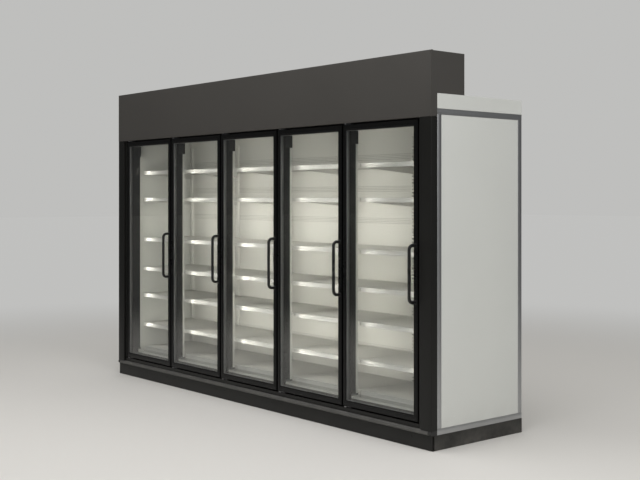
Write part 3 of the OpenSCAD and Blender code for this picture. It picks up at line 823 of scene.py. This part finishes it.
class CASE_OT_lamp_light(CasePiece, bpy.types.Operator):
    """Light that each side of a lamp throws past the shelves onto the air panel and along the shelf fronts"""
    bl_idname = "case.lamp_light"
    bl_label = "Lamp light"

    def execute(self, context):
        s = sizes()
        (low, high), (end_low, _) = lamp_boxes("lamp_lenses")
        # A light's width, and how far it stands out from the lens's side
        width, beside, middle = 0.02, 0.012, (low[2] + high[2]) / 2
        size = (width, high[2] - low[2] - 2 * s.lamp_end)
        edges = [(x + side * LENS_HALF, side) for x in lamp_lines() for side in (-1, 1)]
        edges += [(-end_low[0], 1), (end_low[0], -1)]
        for k, (x, side) in enumerate(edges):
            # A lamp by an end wall stands nearer to the shelf fronts, and the next lamp lights that wall less
            ahead, back, along = 0.040, 1.0, 1.0
            if k >= len(edges) - 2:
                ahead, back, along = 0.012, 0.8, 0.6
            elif k in (0, len(edges) - 3):
                back, along = 0.4, 0.2
            place = (x + side * beside, low[1] - ahead, middle)
            # The angle between the lamp's direction and straight back, and its spread, in degrees
            for name, turn, spread, watts in (("back", 47, 88, s.lamp_back * back),
                                              ("side", 80, 60, s.lamp_side * along)):
                toward = (side * math.sin(math.radians(turn)), math.cos(math.radians(turn)), 0)
                lamp = area_lamp(f"Lamp_{k + 1}_{name}", place, toward, size, watts)
                lamp.data.spread = math.radians(spread)
                lamp.data.color = colours().light
                lamp.visible_camera = lamp.visible_glossy = lamp.visible_transmission = False
        return {"FINISHED"}


class CASE_OT_shelves(CasePiece, bpy.types.Operator):
    """Shelves, deck trays, slotted uprights and the price rails"""
    bl_idname = "case.shelves"
    bl_label = "Shelves"

    def execute(self, context):
        shelves = sorted(name for name in frame["nodes"] if name.startswith("shelf_tier"))
        for node in shelves + ["deck_trays"]:
            eased(node, sizes().edge / 2, "Shelf coat with painted shade", segments=1)
        coat("shelf_uprights", finish("Interior coat"))
        eased("price_rails", sizes().edge / 2, "Price rail plastic")
        return {"FINISHED"}


class CASE_OT_door_leaves(CasePiece, bpy.types.Operator):
    """Mitred leaf frames with their pivot pins, glazing and inner beads"""
    bl_idname = "case.door_leaves"
    bl_label = "Door leaves"

    def outlines(self, lap, depth, pane):
        """Section of a leaf's bar as distance from the outer edge and depth: with a small rounding at the outer
        edge, and with the half round edge that turns about the pivot."""
        half = np.arange(17) * np.pi / 16
        edge_depth = depth / 2 * (1 - np.cos(half))
        pivot_side = depth / 2 * (1 - np.sin(half))
        r = 0.002
        near = np.clip(r - np.minimum(edge_depth, depth - edge_depth), 0, r)
        square = r - np.sqrt(r ** 2 - near ** 2)
        line, gap = sizes().bead_line, 0.0001
        lip, inner = pane[0] - gap, lap + 0.011
        # From the back of the outer edge to the gasket's groove, the inner lip and the front face
        back = np.array([(lap - 0.0062, depth), (lap - 0.0062, depth - 0.005), (lap - 0.0018, depth - 0.005),
                         (lap - 0.0018, depth), (inner - 0.0062, depth), (inner - 0.0054, depth - 0.0008),
                         (lap + 0.0021, depth - 0.0014), (lap + 0.0021, pane[1] + gap), (lap - gap, pane[1] + gap),
                         (lap - gap, lip), (inner - 0.0012, lip), (inner - 0.0013, lip - 0.0006),
                         (inner - 0.0044, 0.0006), (inner - 0.0052, 0.0), (line + 0.0009, 0.0),
                         (line + 0.0006, 0.0008), (line - 0.0002, 0.0008), (line - 0.0005, 0.0)])
        return [np.concatenate([np.stack([side, edge_depth], 1), back]) for side in (square, pivot_side)]

    def execute(self, context):
        for door in DOORS:
            low, high, lap, outer, pane = door_box(door)
            depth = high[1] - low[1]
            square, pivot_side = self.outlines(lap, depth, pane)
            bars = ring(outer, low[1], square, pivot_side, groove=sizes().mitre)
            x, y = low[0] + depth / 2, low[1] + depth / 2
            pins = []
            for sign, end, start in ((1, high[2], outer[1][1]), (-1, low[2], outer[0][1])):
                reach = abs(end - start)
                pin = [(0.0001, reach), (0.005, reach), (0.0059, reach - 0.001), (0.0059, -0.001),
                       (0.0001, -0.001)]
                pins.append(turned(pin, (x, y, start), (0, 0, sign)))
            collar = [(0.0001, 0.0057), (0.0092, 0.0057), (0.010, 0.005), (0.010, -0.001), (0.0001, -0.001)]
            pins.append(turned(collar, (x, y, outer[0][1]), (0, 0, -1)))
            piece(door + "_bars", joined([bars, *pins]), "Black leaf coat", door, [door + "_leaf"])
            bead = rounded([(lap + 0.0023, pane[1] + 0.0002), (lap + 0.011, pane[1] + 0.0002),
                            (lap + 0.011, depth - 0.005), (lap + 0.0072, depth - 0.0016),
                            (lap + 0.0023, depth - 0.0016)], [0.0003, 0.0006, 0.001, 0.001, 0.0003], 3)
            piece(door + "_bead", ring(outer, low[1], bead), "Grey bead plastic", door)
            glass = 0.0041
            spacer = rounded(rectangle(lap + 0.0003, pane[0] + glass, lap + 0.0108, pane[1] - glass),
                             [0.0003, 0.0012, 0.0012, 0.0003], 4)
            piece(door + "_spacer", ring(outer, low[1], spacer), "Spacer metal", door)
            coat(door + "_glass", clear_glass())
        return {"FINISHED"}


class CASE_OT_door_pulls(CasePiece, bpy.types.Operator):
    """Bent tube pulls with round feet, and the gaskets behind the leaves"""
    bl_idname = "case.door_pulls"
    bl_label = "Door pulls"

    def execute(self, context):
        radius, bend, foot = 0.011, 0.030, 0.015
        # A foot's outline: its plate with a rounded rim, and a small fillet up to the tube
        plate = [(0.0001, 0.0001), (foot, 0.0001), (foot, 0.0024), (0.0145, 0.0034), (0.0135, 0.004),
                 (0.0124, 0.004), (0.0115, 0.0046), (0.0111, 0.006), (0.0001, 0.006)]
        for door in DOORS:
            low, high = low_high(door + "_pull")
            x, z = (low[0] + high[0]) / 2, (low[2] + high[2]) / 2
            front, back, top = low[1] + radius, high[1], high[2] - foot
            t = np.linspace(0, np.pi / 2, 13)
            arc = np.stack([front + bend - bend * np.sin(t), top - bend + bend * np.cos(t)], 1)
            half = np.concatenate([[(back - 0.0005, top), (back - 0.006, top)], arc, [(front, z + 0.01)]])
            route = np.concatenate([half, half[::-1] * (1, -1) + (0, 2 * z)])
            path = np.column_stack([np.full(len(route), x), route])
            feet = [turned(plate, (x, back, end), (0, -1, 0), 40) for end in (top, 2 * z - top)]
            piece(door + "_pull_tube", joined([tube(path, radius), *feet]), "Pull coat", door,
                  [door + "_pull"])
            self.gasket(door)
        return {"FINISHED"}

    def gasket(self, door):
        """The section's sides swing in and out by a cosine, like the folds of a bellows, from foot to pad."""
        low, high = low_high(door + "_gasket")
        leaf_low, leaf_high, _, outer, _ = door_box(door)
        side, dart, round_off = 0.006, 0.0018, 0.0003
        back, face = leaf_high[1] - leaf_low[1] + 0.0001, high[1] - leaf_low[1]
        middle = low[0] - leaf_low[0] + side
        s = np.linspace(0, 1, 13)
        fold = 0.0036 - 0.0014 * np.cos(2 * np.pi * s * 1.5)
        swing = np.stack([-fold, back + 0.0013 + s * (face - back - 0.0028)], 1)
        left = np.concatenate([
            [(-dart, back - 0.0049), (-dart, back), (-side, back), (-side, back + 0.0009)], swing,
            [(-side, face - 0.0012), (-side, face - round_off), (round_off - side, face)]])
        outline = np.concatenate([left, left[::-1] * (-1, 1)]) + (middle, 0)
        piece(door + "_bellows", ring(outer, leaf_low[1], outline), "Gasket rubber", door,
              [door + "_gasket"])


class CASE_OT_screws(CasePiece, bpy.types.Operator):
    """Screws in the kick panel, and flat ones in the hinge brackets"""
    bl_idname = "case.screws"
    bl_label = "Screws"

    def execute(self, context):
        r = sizes().screw / 2
        head = [(r, 0), (r, r * 0.25), (r * 0.85, r * 0.5), (r * 0.6, r * 0.62), (r * 0.5, r * 0.6),
                (r * 0.48, r * 0.2), (r * 0.01, r * 0.18)]
        low, high = low_high("kick_panel")
        boxes = [door_box(door) for door in DOORS]
        spots = [(x, low[1] + 0.0001, high[2] - 0.03) for a, b, *_ in boxes for x in (a[0] + 0.06, b[0] - 0.06)]
        piece("kick_panel_screws", repeated(turned(head, (0, 0, 0), (0, -1, 0), 12, 3), spots), "Black coat",
              "cabinet")

        air, inset = 0.006, 0.011
        flat = [(r, -0.0002)] + [(radius, height * 0.15) for radius, height in head[1:]]
        flush = []
        for leaf_low, _, _, ((_, bottom), (_, top)), _ in boxes:
            corner = low_high("hinge_brackets", leaf_low[0] - 0.01, leaf_low[0] + 0.2)[1]
            for z, up in ((bottom - air, 1), (top + air, -1)):
                flush.append(turned(flat, (corner[0] - inset, corner[1] - inset, z), (0, 0, up), 12, 3))
        piece("bracket_screws", joined(flush), "Bracket steel", "cabinet")
        return {"FINISHED"}


class CASE_OT_studio(CasePiece, bpy.types.Operator):
    """A plain pale floor, soft light and the camera"""
    bl_idname = "case.studio"
    bl_label = "Studio"

    def execute(self, context):
        reach = np.linspace(-80, 80, 3)
        x, y = np.meshgrid(reach, reach)
        points = np.stack([x.ravel(), y.ravel(), np.zeros(x.size)], 1)
        mesh = bpy.data.meshes.new("studio_floor")
        mesh.from_pydata(points.tolist(), [], grid(3, 3, close_columns=False).tolist())

        def surroundings(tree):
            glossy = add("LightPath", {}, tree).outputs["Is Glossy Ray"]
            return blend(glossy, rgba("backdrop"), rgba("dim_side"))

        def fading(tree):
            away = add("VectorMath", {0: add("TexCoord", {}, tree).outputs["Object"]}, operation="LENGTH")
            far = add("MapRange", {"Value": away.outputs["Value"], "From Min": 3.0, "From Max": 9.0},
                      interpolation_type="SMOOTHSTEP").outputs[0]
            black = (0.0, 0.0, 0.0, 1.0)
            return {"Base Color": blend(far, rgba("floor"), black), "Roughness": 0.6, "Specular IOR Level": 0.1,
                    "Emission Color": blend(far, black, surroundings(tree)), "Emission Strength": 1.0}

        mesh.materials.append(material("Studio floor", fading))
        floor = in_scene("studio_floor", mesh)

        world = bpy.data.worlds.new("Studio")
        world.use_nodes = True
        tree = world.node_tree
        feed(tree.nodes["Background"], {"Color": surroundings(tree)})
        context.scene.world = world
        area_lamp("Overhead", (1.5, -2.2, 5.6), (0, 0, -1), (7.0, 4.0), 180)
        area_lamp("Front", (3.5, -6.5, 3.2), (-3.5, 6.5, -2.0), (4.0, 3.0), 40)
        area_lamp("Side", (8.0, 1.0, 3.2), (-6.0, -1.0, -2.0), (3.0, 3.0), 50)

        # The photo's eye height, and its distance and direction to the case
        lens = bpy.data.cameras.new("Camera")
        lens.sensor_width, lens.lens, lens.shift_y = 36.0, 59.6, -0.065
        camera = in_scene("Camera", lens)
        camera.location = (6.84, -5.42, 1.65)
        camera.rotation_euler = (math.radians(90), 0, math.radians(90 - 40.1))
        context.scene.camera = camera
        context.scene.view_settings.view_transform = "Standard"
        return {"FINISHED"}


OPERATORS = (CASE_OT_shell, CASE_OT_end_walls, CASE_OT_trim, CASE_OT_door_frame, CASE_OT_lamps, CASE_OT_lamp_light,
             CASE_OT_shelves, CASE_OT_door_leaves, CASE_OT_door_pulls, CASE_OT_screws, CASE_OT_studio)


class CASE_PT_panel(bpy.types.Panel):
    """Lists the pieces, sizes and colours of the display case"""
    bl_idname = "CASE_PT_panel"
    bl_label = "Display case"
    bl_space_type = "VIEW_3D"
    bl_region_type = "UI"
    bl_category = "Display case"

    def draw(self, context):
        for operator in OPERATORS:
            self.layout.operator(operator.bl_idname)
        for group in (context.scene.case_sizes, context.scene.case_colours):
            for key in group.bl_rna.properties.keys():
                if key not in ("rna_type", "name"):
                    self.layout.prop(group, key)


CLASSES = (CaseSizes, CaseColours, *OPERATORS, CASE_PT_panel)


def register():
    for each in CLASSES:
        bpy.utils.register_class(each)
    bpy.types.Scene.case_sizes = bpy.props.PointerProperty(type=CaseSizes)
    bpy.types.Scene.case_colours = bpy.props.PointerProperty(type=CaseColours)


def unregister():
    del bpy.types.Scene.case_colours
    del bpy.types.Scene.case_sizes
    for each in reversed(CLASSES):
        bpy.utils.unregister_class(each)


def main():
    register()
    for operator in OPERATORS:
        getattr(bpy.ops.case, operator.bl_idname.split(".")[1])()


if __name__ == "__main__":
    main()
